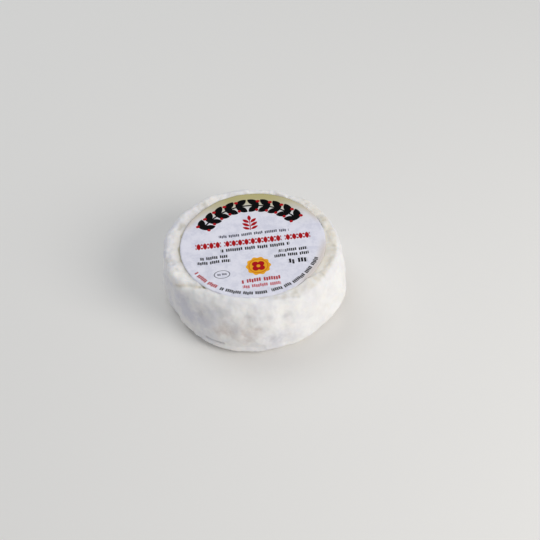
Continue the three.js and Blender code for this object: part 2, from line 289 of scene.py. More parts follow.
def damp_and_shade(rind):
    """The seam and the slope beside the label on the left, painted with their shade and damp tints, and the
    spots where damp has stood.
    """
    # the seam's dark olive is its painted shade, tinted by damp
    seam = fade(np.maximum(rind.from_label + rind.wander, 0), SEAM_WIDTH)
    rind.mark(seam * rind.towards(SEAM_AT, SEAM_SPREAD), olive=1)
    for *spot, strength in OLIVE_SPOTS:
        rind.mark(rind.near(*spot), olive=strength)
    # the slope's grey is painted shade, darkest beside the label; its cream is damp
    slope = fade(rind.from_label - rind.wander, SLOPE_WIDTH) * rind.towards(SEAM_AT, SLOPE_SPREAD)
    slope_shade = SLOPE_SHADE + FLANK_SHADE * fade(rind.from_label, FLANK_WIDTH)
    rind.mark(slope * fade(rind.drop, BAND_DROP), cream=SLOPE_CREAM, grey=slope_shade)
    for *spot, creamy, greyed in DAMP_SPOTS:
        rind.mark(rind.near(*spot), cream=creamy, grey=greyed)


# Creases and grooves, each a path of angle, way out and height
CREASE = (
    (-133, 0.0243, 0.0217),
    (-140, 0.0263, 0.0216),
    (-146, 0.0280, 0.0213),
    (-150, 0.0289, 0.0203),
    (-154, 0.0291, 0.0187),
)
CREASE_LIP = (
    (-140, 0.0252, 0.0222),
    (-148, 0.0271, 0.0225),
    (-154, 0.0285, 0.0220),
    (-158, 0.0292, 0.0203),
)
FRONT_FOLD = ((-64, 0.0282, 0.0203), (-79, 0.0261, 0.0214), (-90, 0.0253, 0.0217))
FLANGE = ((-136, 0.0296, 0.0026), (-124, 0.0296, 0.0021), (-108, 0.0298, 0.0019), (-92, 0.0299, 0.0017))
FLANGE_GROOVE = ((-128, 0.0300, 0.0041), (-122, 0.0302, 0.0038), (-116, 0.0304, 0.0041))
FOOT_GROOVE = ((-113, 0.0304, 0.0040), (-98, 0.0307, 0.0042), (-86, 0.0307, 0.0040), (-76, 0.0307, 0.0040))
GROOVES = (  # depth, or height where it is negative, width, how creamy, how grey with painted shade, and path
    # the crease's cream line is partly the painted shadow under the lip above it
    (0.0006, 0.0008, 0.9, 0.1, CREASE),
    (-0.00035, 0.0013, 0.1, 0, CREASE_LIP),
    (0.0004, 0.0005, 0.7, 0.3, FRONT_FOLD),
    (-0.0007, 0.0011, 0, 0, FLANGE),
    # the slit over the flange is painted full grey as its shade
    (0.0007, 0.00048, 0, 1.0, FLANGE_GROOVE),
    (0.00022, 0.0008, 0, 0.2, FOOT_GROOVE),
)
GROOVE_CLOSENESS = 4  # how many points of its curve lie within a groove's width


def groove_curve(path, width):
    """Points along the smooth curve through a path, close together for the groove's width."""
    corners = place(*np.array(path).T)
    reach = np.concatenate(([0], np.cumsum(np.linalg.norm(np.diff(corners, axis=0), axis=1))))
    spread = np.linspace(0, reach[-1], math.ceil(GROOVE_CLOSENESS * reach[-1] / width) + 1)
    curves = [np.polyfit(reach, corners[:, axis], len(path) - 1) for axis in range(3)]
    return np.stack([np.polyval(curve, spread) for curve in curves], axis=1)


def grooves(rind):
    """The creases and grooves, greyed with painted shade, and the lips beside them."""
    for depth, width, creamy, greyed, path in GROOVES:
        gaps = [np.linalg.norm(rind.spots - spot, axis=1) for spot in groove_curve(path, width)]
        rind.mark(fade(np.min(gaps, axis=0), width), height=-depth, cream=creamy, grey=greyed)


SWELLINGS = (  # angle, height, size and how far out, or in where it is negative
    (-179, 0.0130, 0.0045, -0.0003),
    (-172, 0.0035, 0.0035, 0.0006),
    (-157, 0.0030, 0.0024, -0.0003),
    (-134, 0.0022, 0.0026, -0.0004),
    (-96, 0.0018, 0.0042, -0.0006),
    (-84, 0.0015, 0.0030, -0.0002),
    (-68, 0.0015, 0.0040, 0.0007),
    (-47, 0.0020, 0.0038, -0.0011),
    (-27, 0.0030, 0.0045, 0.0002),
)
FRONT_DIMPLES = (  # angle, height, size and depth
    (-162, 0.0132, 0.0024, 0.00045),
    (-151, 0.0110, 0.0026, 0.00035),
    (-146, 0.0152, 0.0022, 0.0004),
    (-132, 0.0140, 0.0023, 0.0006),
    (-118, 0.0180, 0.0022, 0.00035),
    (-112, 0.0104, 0.0028, 0.0005),
    (-99, 0.0172, 0.0020, 0.0003),
    (-92, 0.0124, 0.0022, 0.00045),
    (-85, 0.0070, 0.0024, 0.00035),
    (-74, 0.0157, 0.0022, 0.0006),
    (-60, 0.0110, 0.0030, 0.0005),
    (-43, 0.0150, 0.0032, 0.0005),
    (-36, 0.0070, 0.0028, 0.0004),
)
BACK_DIMPLES = 26
BACK_FROM, BACK_TO = -26, 190  # the angles between which they lie
BACK_LOW, BACK_HIGH = 0.004, 0.018
BACK_SIZE, BACK_DEPTH = 0.0023, 0.0004
DIMPLE_LEAST, DIMPLE_MOST = 0.75, 1.25  # shares of that size and depth
DIMPLE_SHADE = 0.25  # how much painted shade greys a dimple of that depth
GOLDEN_SHARE = 0.618034


def dimples():
    """The dimples of the wall: the front ones as given, the others spread by the golden section."""
    yield from FRONT_DIMPLES
    for i in range(BACK_DIMPLES):
        angle = BACK_FROM + (BACK_TO - BACK_FROM) * (i + 0.5) / BACK_DIMPLES
        up = BACK_LOW + (BACK_HIGH - BACK_LOW) * ((i + 1) * GOLDEN_SHARE % 1)
        more = DIMPLE_LEAST + (DIMPLE_MOST - DIMPLE_LEAST) * (i * GOLDEN_SHARE ** 2 % 1)
        yield angle, up, BACK_SIZE * more, BACK_DEPTH * more


def wall_relief(rind):
    """The swellings and the dimples of the wall, the dimples greyed a little by painted shade."""
    for *spot, swelling in SWELLINGS:
        rind.mark(rind.on_wall(*spot), height=swelling)
    for *spot, depth in dimples():
        rind.mark(rind.on_wall(*spot), height=-depth, grey=DIMPLE_SHADE * depth / BACK_DEPTH)


RIM_FOLDS = (  # angle, depth and width of the small folds across the rolled rim
    (100, 0.00010, 0.0006),
    (111, 0.00012, 0.0008),
    (124, 0.00014, 0.0007),
    (138, 0.00026, 0.0010),
    (152, 0.00036, 0.0012),
    (174, 0.00016, 0.0011),
    (-170, 0.00026, 0.0012),
    (-158, 0.00020, 0.0010),
    (-40, 0.00014, 0.0006),
    (-12, 0.00022, 0.0007),
    (4, 0.00026, 0.0006),
    (14, 0.00022, 0.0005),
    (22, 0.00026, 0.0006),
    (36, 0.00032, 0.0007),
    (52, 0.00024, 0.0006),
    (71, 0.00022, 0.0006),
    (86, 0.00020, 0.0005),
)
FOLD_IN = 0.0010  # how far inside the crest the folds are deepest
FOLD_REACH = 0.0022
# the folds' grey and olive are painted shade, their cream is their own tint
FOLD_CREAM, FOLD_OLIVE, FOLD_GREY = 0.4, 0.2, 0.12
CALM_AT, CALM_SPREAD, CALM = -95, 40, 0.7  # the front stretch of the rim, which is smoother


def along_rim(rind):
    """1 a little inside the crest of the rim, fading to either side and where the rim is calm."""
    inside = fade(np.hypot(rind.out - rind.rim["crest"] + FOLD_IN, rind.drop), FOLD_REACH)
    return inside * (1 - CALM * rind.towards(CALM_AT, CALM_SPREAD))


def rim_folds(rind):
    """The small folds across the rim, darkened by painted shade and tinted cream."""
    on_rim = along_rim(rind)
    for angle, depth, width in RIM_FOLDS:
        across = np.radians(turned_away(rind.at, angle)) * rind.out + rind.wander
        fold = on_rim * fade(across, width)
        rind.mark(fold, height=-depth, cream=FOLD_CREAM, olive=FOLD_OLIVE, grey=FOLD_GREY)


GREY_PATCHES = (  # angle, height, size and strength of the grey patches, most of them painted shade darkening the front dimples
    (-155, 0.0112, 0.0026, 0.35),
    (-132, 0.0143, 0.0024, 0.40),
    (-117, 0.0175, 0.0028, 0.40),
    (-98.5, 0.0175, 0.0028, 0.48),
    (-86, 0.0172, 0.0030, 0.42),
    (-75, 0.0158, 0.0019, 0.42),
    (-85.5, 0.0070, 0.0022, 0.35),
)
STAINS = (  # the same for the brown stains on the wall
    (-119, 0.0100, 0.0026, 0.65),
    (-113, 0.0108, 0.0026, 0.55),
    (-114, 0.0145, 0.0030, 0.50),
    (-109, 0.0080, 0.0034, 0.25),
    (-92.5, 0.0124, 0.0015, 0.60),
    (-99, 0.0126, 0.0040, 0.70),
    (-100, 0.0074, 0.0034, 0.60),
    (-100, 0.0172, 0.0034, 0.20),
    (-74, 0.0154, 0.0010, 0.40),
    (-74, 0.0126, 0.0016, 0.50),
    (-50, 0.0130, 0.0080, 0.40),
)
THIN_AND_SHADE_PATCHES = (  # the same where the bloom is thin and where shade is painted on the wall, or thick where the strength is negative
    # the first four rows paint the lavender-grey shade of the left and front-left wall
    (-162, 0.0110, 0.0080, 0.9),
    (-146, 0.0110, 0.0060, 0.7),
    (-134, 0.0125, 0.0060, 0.45),
    (-116, 0.0150, 0.0060, 0.2),
    (-84, 0.0065, 0.0050, 0.25),
    (-34, 0.0120, 0.0120, -0.25),
    (172, 0.0215, 0.0034, 0.25),
    (-176, 0.0215, 0.0034, 0.25),
    (-164, 0.0215, 0.0030, 0.25),
    (156, 0.0215, 0.0034, 0.5),
    (138, 0.0220, 0.0030, 0.6),
    # these two paint the shade on the rolled rim's outer side at the left
    (-178, 0.0205, 0.0015, 1.2),
    (-166, 0.0205, 0.0018, 1.2),
    (30, 0.0120, 0.0080, 0.35),
    (75, 0.0070, 0.0070, 0.3),
    (110, 0.0130, 0.0080, 0.4),
    (150, 0.0090, 0.0090, 0.45),
)


def patches(rind):
    """The grey patches of painted shade, the brown stains, and the thin bloom with more painted shade."""
    for tone, rows in (("grey", GREY_PATCHES), ("brown", STAINS), ("thin", THIN_AND_SHADE_PATCHES)):
        for *spot, strength in rows:
            rind.mark(rind.on_wall(*spot), **{tone: strength})


SWELL_WAVES = 24
SWELL_LONGEST, SWELL_SHORTEST = 0.017, 0.004
SWELL_STEEPNESS = 0.0058  # the height of each wave as a share of its length
RIND_GRAIN = ((0.0027, 0.00018), (0.0011, 0.00009))  # size and height of the rind's own fine unevenness
PUFFS = (0.0044, 0.00060)  # size and height of the puffs of the rim
CRUMBS = (0.0017, 0.00038)  # size and height of the crumbs on the rim
PUFF_OLIVE = 0.42  # how much olive is painted in the hollows between the puffs and crumbs of the rim, as their shade and tint
SMOOTH_AT, SMOOTH_SPREAD, SMOOTH = -15, 38, 0.6  # the damp stretch of the rim, which has lower puffs


def unevenness(rind):
    """Soft waves and a fine grain all over, and the puffs and crumbs of the rim, with olive shade painted in
    their hollows.
    """
    for i in range(SWELL_WAVES):
        length = SWELL_LONGEST * (SWELL_SHORTEST / SWELL_LONGEST) ** (i / (SWELL_WAVES - 1))
        climb = 2 * (i * GOLDEN_SHARE ** 2 % 1) - 1
        heading = place(i * GOLDEN_SHARE * 360, math.sqrt(1 - climb * climb), climb) * 2 * np.pi / length
        rind.mark(np.sin(rind.spots @ heading + i), height=SWELL_STEEPNESS * length)
    for size, grain in RIND_GRAIN:
        rind.mark(lattice(rind.spots, size), height=grain)
    puffy = along_rim(rind) * (1 - SMOOTH * rind.towards(SMOOTH_AT, SMOOTH_SPREAD))
    for size, rise in (PUFFS, CRUMBS):
        puffed = puffy * lattice(rind.spots, size)
        rind.mark(puffed, height=rise)
        # painted olive shade in the hollows between the puffs
        rind.mark(np.maximum(-puffed, 0), olive=PUFF_OLIVE)


def cheese_form(at, along):
    """Points of the surface, with their tones, at angles and places along the section."""
    spots = np.zeros((len(at), 3))
    lift = np.zeros((len(at), 3))
    stretches = (foot_flat, foot_round, wall, shoulder, rim, seat)
    number = np.minimum(np.floor(along), len(stretches) - 1)
    for i, stretch in enumerate(stretches):
        mine = number == i
        share = along[mine] - i
        plain, direction, amount = stretch(at[mine], share)
        spots[mine] = plain
        lift[mine] = direction * np.broadcast_to(amount, share.shape)[:, None]
    rind = Rind(spots, at)
    for feature in (rolled_rim, damp_and_shade, grooves, wall_relief, rim_folds, patches, unevenness):
        feature(rind)
    return spots + lift * rind.height[:, None], rind.tones


STRETCH_RINGS = (4, 20, 60, 28, 28, 4)  # how many rings each stretch of the section has
TURN_STEPS, TURN_CUTS = 60, 9  # the steps of the spin, and how often the edges across each are cut
MERGE_DISTANCE = 1e-7


def on_one_ring(edge):
    """Whether an edge runs level round the axis, across the line that was spun."""
    one, other = (vert.co for vert in edge.verts)
    wider = abs(one.xy.length - other.xy.length)
    return wider < MERGE_DISTANCE and abs(one.z - other.z) < MERGE_DISTANCE


def spun(bm, verts, steps, cuts):
    """A line of points spun about the upright axis in coarse steps, each then cut finer."""
    edges = [bm.edges.new(pair) for pair in zip(verts, verts[1:])]
    bmesh.ops.spin(
        bm, geom=verts + edges, axis=(0, 0, 1), angle=math.tau, steps=steps, use_merge=True
    )
    across = [edge for edge in bm.edges if on_one_ring(edge)]
    bmesh.ops.subdivide_edges(bm, edges=across, cuts=cuts, use_grid_fill=True)


def finished(bm, name):
    """An object from a bmesh: doubles merged, faces outwards, all smooth."""
    bmesh.ops.remove_doubles(bm, verts=bm.verts, dist=MERGE_DISTANCE)
    bmesh.ops.recalc_face_normals(bm, faces=bm.faces)
    for face in bm.faces:
        face.smooth = True
    mesh = bpy.data.meshes.new(name)
    bm.to_mesh(mesh)
    bm.free()
    piece = bpy.data.objects.new(name, mesh)
    bpy.context.collection.objects.link(piece)
    return piece


def cheese():
    """The section is spun into a drum, and each of its points is then moved to its place on the form."""
    bm = bmesh.new()
    along_layer, *tone_layers = [bm.verts.layers.float.new(name) for name in ("along", *TONES)]
    section = []
    for stretch, count in enumerate(STRETCH_RINGS):
        section += [stretch + i / count for i in range(count)]
    section = np.array(section + [len(STRETCH_RINGS)], float)
    spots, _ = cheese_form(np.zeros(len(section)), section)
    verts = []
    for along, spot in zip(section, spots):
        verts.append(bm.verts.new((math.hypot(spot[0], spot[1]), 0, spot[2])))
        verts[-1][along_layer] = along
    spun(bm, verts, TURN_STEPS, TURN_CUTS)
    at = np.array([math.degrees(math.atan2(vert.co.y, vert.co.x)) for vert in bm.verts])
    along = np.array([vert[along_layer] for vert in bm.verts])
    spots, tones = cheese_form(at, along)
    for vert, spot in zip(bm.verts, spots):
        vert.co = spot
    for tone, layer in zip(TONES, tone_layers):
        for vert, strength in zip(bm.verts, tones[tone]):
            vert[layer] = strength
    return finished(bm, "goat_cheese")


MIX_COLOURS, MIXED_COLOUR = (6, 7), 2  # the colour sockets of a Mix node, in and out


class Wire:
    """A socket of a shader. Sums on wires become Math nodes."""

    def __init__(self, tree, socket=None):
        self.tree = tree
        self.socket = socket

    def node(self, kind, settings=None, sockets=None, out=0):
        """Any node: its type, its settings, and the values or wires of its sockets."""
        made = self.tree.nodes.new(kind)
        for name, value in (settings or {}).items():
            setattr(made, name, value)
        for name, value in (sockets or {}).items():
            if isinstance(value, Wire):
                self.tree.links.new(value.socket, made.inputs[name])
            else:
                made.inputs[name].default_value = value
        return Wire(self.tree, made.outputs[out])

    def math(self, operation, *values):
        return self.node("ShaderNodeMath", {"operation": operation}, dict(enumerate(values)))

    def __add__(self, other):
        return self.math("ADD", self, other)

    def __sub__(self, other):
        return self.math("SUBTRACT", self, other)

    def __rsub__(self, other):
        return self.math("SUBTRACT", other, self)

    def __mul__(self, other):
        return self.math("MULTIPLY", self, other)

    def __truediv__(self, other):
        return self.math("DIVIDE", self, other)

    def __abs__(self):
        return self.math("ABSOLUTE", self)

    def __neg__(self):
        return self * -1

    __radd__ = __add__
    __rmul__ = __mul__

    def between(self, low, high):
        """0 at low and 1 at high, smooth in between and held beyond them."""
        sockets = {"Value": self, "From Min": low, "From Max": high}
        return self.node("ShaderNodeMapRange", {"interpolation_type": "SMOOTHSTEP"}, sockets)

    def mix(self, *colours):
        """The first of two colours where this is 0 and the second where it is 1."""
        sockets = {"Factor": self, **dict(zip(MIX_COLOURS, colours))}
        return self.node("ShaderNodeMix", {"data_type": "RGBA"}, sockets, MIXED_COLOUR)

    def chance(self):
        """A number from 0 to 1 by lot for each whole number."""
        return self.node("ShaderNodeTexWhiteNoise", {"noise_dimensions": "1D"}, {"W": self})

    def noise(self, size, detail, roughness):
        """Soft noise with grains of a size in metres, on the piece's own coordinates."""
        sockets = {"Vector": self, "Scale": 1 / size, "Detail": detail, "Roughness": roughness}
        return self.node("ShaderNodeTexNoise", None, sockets)

    def bump(self, depth):
        """A normal from this height, where 1 is a depth in metres."""
        return self.node("ShaderNodeBump", None, {"Height": self, "Distance": depth, "Strength": 1.0})

    def shade(self, sockets):
        """One Principled shader with the values or wires of its sockets, led to the output."""
        shader = self.node("ShaderNodeBsdfPrincipled", None, sockets)
        output = self.tree.nodes.new("ShaderNodeOutputMaterial")
        self.tree.links.new(shader.socket, output.inputs["Surface"])


def colour(red, green, blue):
    """A colour given as a screen shows it, 0 to 255, as the shader wants it."""
    shares = (value / 255 for value in (red, green, blue))
    return (*(s / 12.92 if s < 0.04045 else ((s + 0.055) / 1.055) ** 2.4 for s in shares), 1)


def new_material(name):
    """A material without nodes, and a wire to start them from."""
    material = bpy.data.materials.new(name)
    material.use_nodes = True
    material.node_tree.nodes.clear()
    return material, Wire(material.node_tree)


RIND_WHITE = colour(247, 245, 242)
# also the colour of the painted lavender shade on the left wall and under the rolled rim
RIND_THIN_AND_SHADE = colour(220, 219, 227)
# the grey of painted shade in hollows, folds, grooves and beside the label, and of the damp spots
RIND_GREY = colour(188, 187, 191)
RIND_BROWN = colour(219, 210, 205)
RIND_CREAM = colour(232, 225, 211)
# the olive of damp spots, also painted as shade in the seam, the folds and the hollows of the rim
RIND_OLIVE = colour(176, 170, 148)
MOTTLE_NOISE = (0.0078, 5, 0.63)  # size, detail and roughness, as for the other noises
MOTTLE_FROM, MOTTLE_TO = 0.38, 0.64  # the noise at which the mottle begins and is whole
MOTTLE_ALL_OVER = 0.4  # how much of the mottle shows where the bloom is thick
MOTTLE_IN_THIN_AND_SHADE, THIN_AND_SHADE_PLAIN = 0.6, 0.35  # how much of the thin bloom and painted shade is mottled and how much is even
BREAK_UP_NOISE = (0.0018, 3, 0.55)
BREAK_UP_LEAST, BREAK_UP_MORE = 0.2, 1.6  # how strong the broken tones are at least, and how much more
TONE_FROM = 0.1  # the strength at which a tone begins to show
BROKEN_TONES = (  # tones with uneven edges, the strength at which each is whole, and its colour
    ("grey", 1.6, RIND_GREY),
    ("brown", 1.3, RIND_BROWN),
    ("cream", 1.2, RIND_CREAM),
)
OLIVE_WHOLE = 1.0
FUZZ_NOISE = (0.0003, 3, 0.6)
FUZZ_DEPTH = 0.00003
RIND_FINISH = {
    "Roughness": 0.88,
    "Specular IOR Level": 0.25,
    "Subsurface Weight": 0.3,
    "Subsurface Radius": (1.0, 0.85, 0.7),
    "Subsurface Scale": 0.0012,
    "Sheen Weight": 0.1,
    "Sheen Roughness": 0.5,
}


def rind_material():
    """White bloom, mottled where it is thin, greyer in hollows and other places where shade is painted,
    browned in stains and creamy where damp.
    """
    material, start = new_material("rind")
    place_on = start.node("ShaderNodeTexCoord", out="Object")
    tones = {name: start.node("ShaderNodeAttribute", {"attribute_name": name}, out="Fac") for name in TONES}
    mottle = place_on.noise(*MOTTLE_NOISE).between(MOTTLE_FROM, MOTTLE_TO)
    # the thin tone carries painted shade too, mixed here in lavender-grey
    thin = tones["thin"] * (mottle * MOTTLE_IN_THIN_AND_SHADE + THIN_AND_SHADE_PLAIN) + mottle * MOTTLE_ALL_OVER
    tint = thin.mix(RIND_WHITE, RIND_THIN_AND_SHADE)
    break_up = place_on.noise(*BREAK_UP_NOISE) * BREAK_UP_MORE + BREAK_UP_LEAST
    for name, whole, toned in BROKEN_TONES:
        tint = (tones[name] * break_up).between(TONE_FROM, whole).mix(tint, toned)
    tint = tones["olive"].between(TONE_FROM, OLIVE_WHOLE).mix(tint, RIND_OLIVE)
    fuzz = place_on.noise(*FUZZ_NOISE).bump(FUZZ_DEPTH)
    start.shade({"Base Color": tint, "Normal": fuzz, **RIND_FINISH})
    return material


cheese_piece = cheese()
cheese_piece.data.materials.append(rind_material())
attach(cheese_piece, "root")
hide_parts("cheese")

# The label
# A round of thin coated paper, printed in black, red and gold, which is laid on the ripe cheese and
# held by its damp rind. It follows the seat and has cockled a little at its edge.
PAPER_THICKNESS = 0.00012
PAPER_LIFT = 0.00002
PAPER_RINGS = 44
PAPER_STEPS, PAPER_CUTS = 48, 5
COCKLES, COCKLE_HEIGHT, COCKLE_REACH = 17, 0.00005, 0.004  # how many round the edge, and how far in they go
COCKLE_DRIFT, COCKLE_DRIFTS = 2, 3  # how unevenly they are spread, and how often round the edge


def cockle(turn, inward):
    """How high the edge has cockled, at an angle and a way in from the edge."""
    wave = math.sin(COCKLES * turn + COCKLE_DRIFT * math.sin(COCKLE_DRIFTS * turn))
    return COCKLE_HEIGHT * (1 + wave) * float(fade(inward, COCKLE_REACH))


def label():
    """A straight line spun into a disc, laid on the seat and given its thickness."""
    bm = bmesh.new()
    radii = [LABEL_RADIUS * i / PAPER_RINGS for i in range(PAPER_RINGS + 1)]
    verts = [bm.verts.new((radius, 0, 0)) for radius in radii]
    spun(bm, verts, PAPER_STEPS, PAPER_CUTS)
    bmesh.ops.remove_doubles(bm, verts=bm.verts, dist=MERGE_DISTANCE)
    for vert in bm.verts:
        raised = cockle(math.atan2(vert.co.y, vert.co.x), LABEL_RADIUS - vert.co.xy.length)
        vert.co.x += LABEL_CENTRE.x
        vert.co.y += LABEL_CENTRE.y
        vert.co.z = float(seat_height(vert.co.x, vert.co.y)) + PAPER_LIFT + PAPER_THICKNESS + raised
    bmesh.ops.recalc_face_normals(bm, faces=bm.faces)
    if sum(face.normal.z for face in bm.faces) < 0:
        bmesh.ops.reverse_faces(bm, faces=bm.faces)
    bmesh.ops.solidify(bm, geom=bm.faces, thickness=PAPER_THICKNESS)
    return finished(bm, "paper_label")


# What the print is made of: inks, distances to the edges of shapes, and masks of what lies inside them
INKS = {
    "black": colour(3, 3, 4),
    "grey": colour(84, 84, 98),
    "pink": colour(196, 84, 92),
    "red": colour(176, 18, 26),
}
INK_GOLD = colour(238, 172, 40)
INK_ORANGE = colour(222, 120, 30)
INK_OLIVE = colour(191, 182, 130)
INK_EDGE = 0.00009  # how softly the ink ends in the paper


def inked(distance):
    """A mask of the inside of a shape, from the distance to its edge."""
    return distance.between(INK_EDGE / 2, -INK_EDGE / 2)


def largest(*wires):
    """Of distances to edges, what lies inside all the shapes. Of masks, what any of them inks."""
    return functools.reduce(lambda one, other: one.math("MAXIMUM", one, other), wires)


def smallest(*wires):
    """Of distances to edges, what lies inside any of the shapes."""
    return functools.reduce(lambda one, other: one.math("MINIMUM", one, other), wires)


def away(x, y):
    """How far a place lies from the middle."""
    squares = x * x + y * y
    return squares.math("SQRT", squares)


def angle_of(x, y):
    """The angle of a place about the middle, in radians."""
    return y.math("ARCTAN2", y, x)


def repeat_number(along, pitch):
    """Which repeat of a row a place lies in."""
    share = along / pitch
    return share.math("FLOOR", share)


def in_repeat(along, pitch):
    """The place in a repeat of a row, measured from the repeat's middle."""
    return (along / pitch - repeat_number(along, pitch) - 0.5) * pitch


def leaf(x, y, long, wide, turn):
    """Two arcs that meet in points, long along a direction turned from the x axis."""
    cosine, sine = math.cos(math.radians(turn)), math.sin(math.radians(turn))
    radius = (long * long + wide * wide) / (4 * wide)
    return away(x * cosine + y * sine, abs(y * cosine - x * sine) + (radius - wide / 2)) - radius


# The arch of leaves and berries along the label's upper edge
ARCH_RADIUS = 0.0183
ARCH_HALF = math.radians(60)  # how far it reaches to either side
LEAF_PITCH = 0.0038
LEAF_LONG, LEAF_WIDE, LEAF_TURN = 0.0047, 0.0025, 38
LEAF_OUT = 0.0015  # how far the middle of a leaf stands off the stem
STEM_HALF = 0.0003
BERRY_ON, BERRY_OUT, BERRY_RADIUS = -0.0013, 0.0021, 0.0006  # how far along a leaf's pitch and off the stem


def arch(x, y):
    """Pairs of leaves on a bent stem, from both sides up to the middle, and the berries between them."""
    along = (ARCH_HALF - abs(angle_of(x, y) - math.pi / 2)) * ARCH_RADIUS
    step = in_repeat(along, LEAF_PITCH)
    across = abs(away(x, y) - ARCH_RADIUS)
    half_row = math.floor(ARCH_HALF * ARCH_RADIUS / LEAF_PITCH) * LEAF_PITCH / 2
    ends = abs(along - half_row) - half_row
    leaves = leaf(step, across - LEAF_OUT, LEAF_LONG, LEAF_WIDE, LEAF_TURN)
    stem = largest(across - STEM_HALF, -along)
    berries = away(step - BERRY_ON, across - BERRY_OUT) - BERRY_RADIUS
    return inked(smallest(largest(leaves, ends), stem)), inked(largest(berries, ends))


TWIG_UP, TWIG_LONG, TWIG_HALF = 0.0066, 0.0052, 0.00014  # its foot, and its stem's length and half width
TWIG_LEAVES = (  # middle across and up, length, width and turn of each leaf on one side
    (0, 0.0057, 0.0026, 0.0012, 90),
    (0.00125, 0.0044, 0.0027, 0.0012, 42),
    (0.00135, 0.0027, 0.0029, 0.0012, 36),
    (0.00135, 0.0010, 0.0027, 0.0011, 30),
)


def twig(x, y):
    """An upright twig with leaves in pairs and one at its tip."""
    leaves = [leaf(abs(x) - across, y - up, *sizes) for across, up, *sizes in TWIG_LEAVES]
    stem = largest(abs(x) - TWIG_HALF, abs(y - TWIG_LONG / 2) - TWIG_LONG / 2)
    return inked(smallest(*leaves, stem))


BORDER_UP, BORDER_PITCH = 0.0013, 0.0021
BORDER_GROUPS = ((-0.0188, 4), (-0.0093, 9), (0.0107, 4))  # where each starts and how many motifs it has
BORDER_LEAF = (0.0029, 0.0014, 90)  # the length, width and turn of its upright leaves
DOT_UP, DOT_RADIUS = 0.00078, 0.00038  # how far up and down its dots stand


def border(x, y):
    """A row of upright leaves with a pair of dots between each two, in three groups."""
    groups = []
    for start, count in BORDER_GROUPS:
        half = count * BORDER_PITCH / 2
        step = in_repeat(x - start, BORDER_PITCH)
        dots = away(abs(step) - BORDER_PITCH / 2, abs(y) - DOT_UP) - DOT_RADIUS
        motifs = smallest(leaf(step, y, *BORDER_LEAF), dots)
        groups.append(inked(largest(motifs, abs(x - start - half) - half)))
    return largest(*groups)


ROSETTE_AT = (0.0008, -0.0102)
ROSETTE_RADIUS = 0.0039
SCALLOPS, SCALLOP_DEPTH = 10, 0.00022  # of its edge
RING_RADIUS, RING_HALF = 0.78 * ROSETTE_RADIUS, 0.04 * ROSETTE_RADIUS
PETAL_OUT, PETAL_RADIUS = 0.24 * ROSETTE_RADIUS, 0.28 * ROSETTE_RADIUS
HEART_RADIUS = 0.16 * ROSETTE_RADIUS


def rosette(x, y):
    """A scalloped gold round, a thin ring in it and a quatrefoil with an open heart."""
    out = away(x, y)
    turn = angle_of(x, y) * SCALLOPS
    edge = out - (turn.math("COSINE", turn) * SCALLOP_DEPTH + ROSETTE_RADIUS)
    ring = abs(out - RING_RADIUS) - RING_HALF
    petals = away(abs(x) - PETAL_OUT, abs(y) - PETAL_OUT) - PETAL_RADIUS
    return inked(edge), inked(ring), inked(largest(petals, -(out - HEART_RADIUS)))


STAMP_AT, STAMP_SIZE = (-0.0112, -0.0122), (0.0025, 0.0017)  # its middle, half its width and half its height
STAMP_LINE = 0.0001  # half the width of its line


def stamp(x, y):
    """A thin oval ring."""
    wide, tall = STAMP_SIZE
    return inked(abs(away(x / wide, y / tall) - 1) * tall - STAMP_LINE)


SMALL_PRINT = (  # rows of small strokes: middle across and up, length, height and ink
    (0.0008, 0.0048, 0.0232, 0.0013, "grey"),
    (0.0006, -0.0017, 0.0226, 0.0015, "black"),
    (-0.0132, -0.0042, 0.0092, 0.0014, "black"),
    (-0.0134, -0.0063, 0.0108, 0.0014, "black"),
    (-0.0112, -0.0122, 0.0030, 0.0009, "grey"),
    (0.0126, -0.0046, 0.0094, 0.0014, "black"),
    (0.0120, -0.0067, 0.0112, 0.0014, "black"),
    (0.0136, -0.0098, 0.0062, 0.0021, "black"),
    (0.0010, -0.0163, 0.0128, 0.0017, "red"),
    (0.0010, -0.0187, 0.0122, 0.0014, "pink"),
)
RIM_PRINT_RADIUS = 0.0219
RIM_PRINT = (  # the same round the lower edge: middle angle and span in degrees, height and ink
    (-52, 56, 0.0014, "black"),
    (-104, 40, 0.0014, "black"),
    (-140, 26, 0.0015, "red"),
)
STROKE_PITCH, STROKE_HALF = 0.46, 0.165  # shares of a row's height, as are the next two
STROKE_TALL, STROKE_SHIFT = 0.44, 0.22
WORD_STROKES = 7
WORD_DRIFT = 2  # how many strokes the gaps between words wander
SMALL_SEED_STEP = 40  # each row starts so many strokes farther along, so that no two are alike
RIM_SEED, RIM_SEED_STEP = 500, 60


def strokes(along, up, length, tall, seed):
    """A row of small upright strokes of uneven height, with gaps as between words."""
    pitch = STROKE_PITCH * tall
    seeded = along + seed * pitch
    number = repeat_number(seeded, pitch)
    shift = (number.chance() - 0.5) * (STROKE_SHIFT * tall)
    side = abs(in_repeat(seeded, pitch)) - STROKE_HALF * tall
    word = repeat_number(number + 0.5, WORD_STROKES)
    from_gap = in_repeat(number + 0.5, WORD_STROKES) - WORD_STROKES // 2 + word.chance() * WORD_DRIFT
    gap = (0.5 - abs(from_gap)) * pitch
    return inked(largest(side, abs(up + shift) - STROKE_TALL * tall, abs(along) - length / 2, gap))


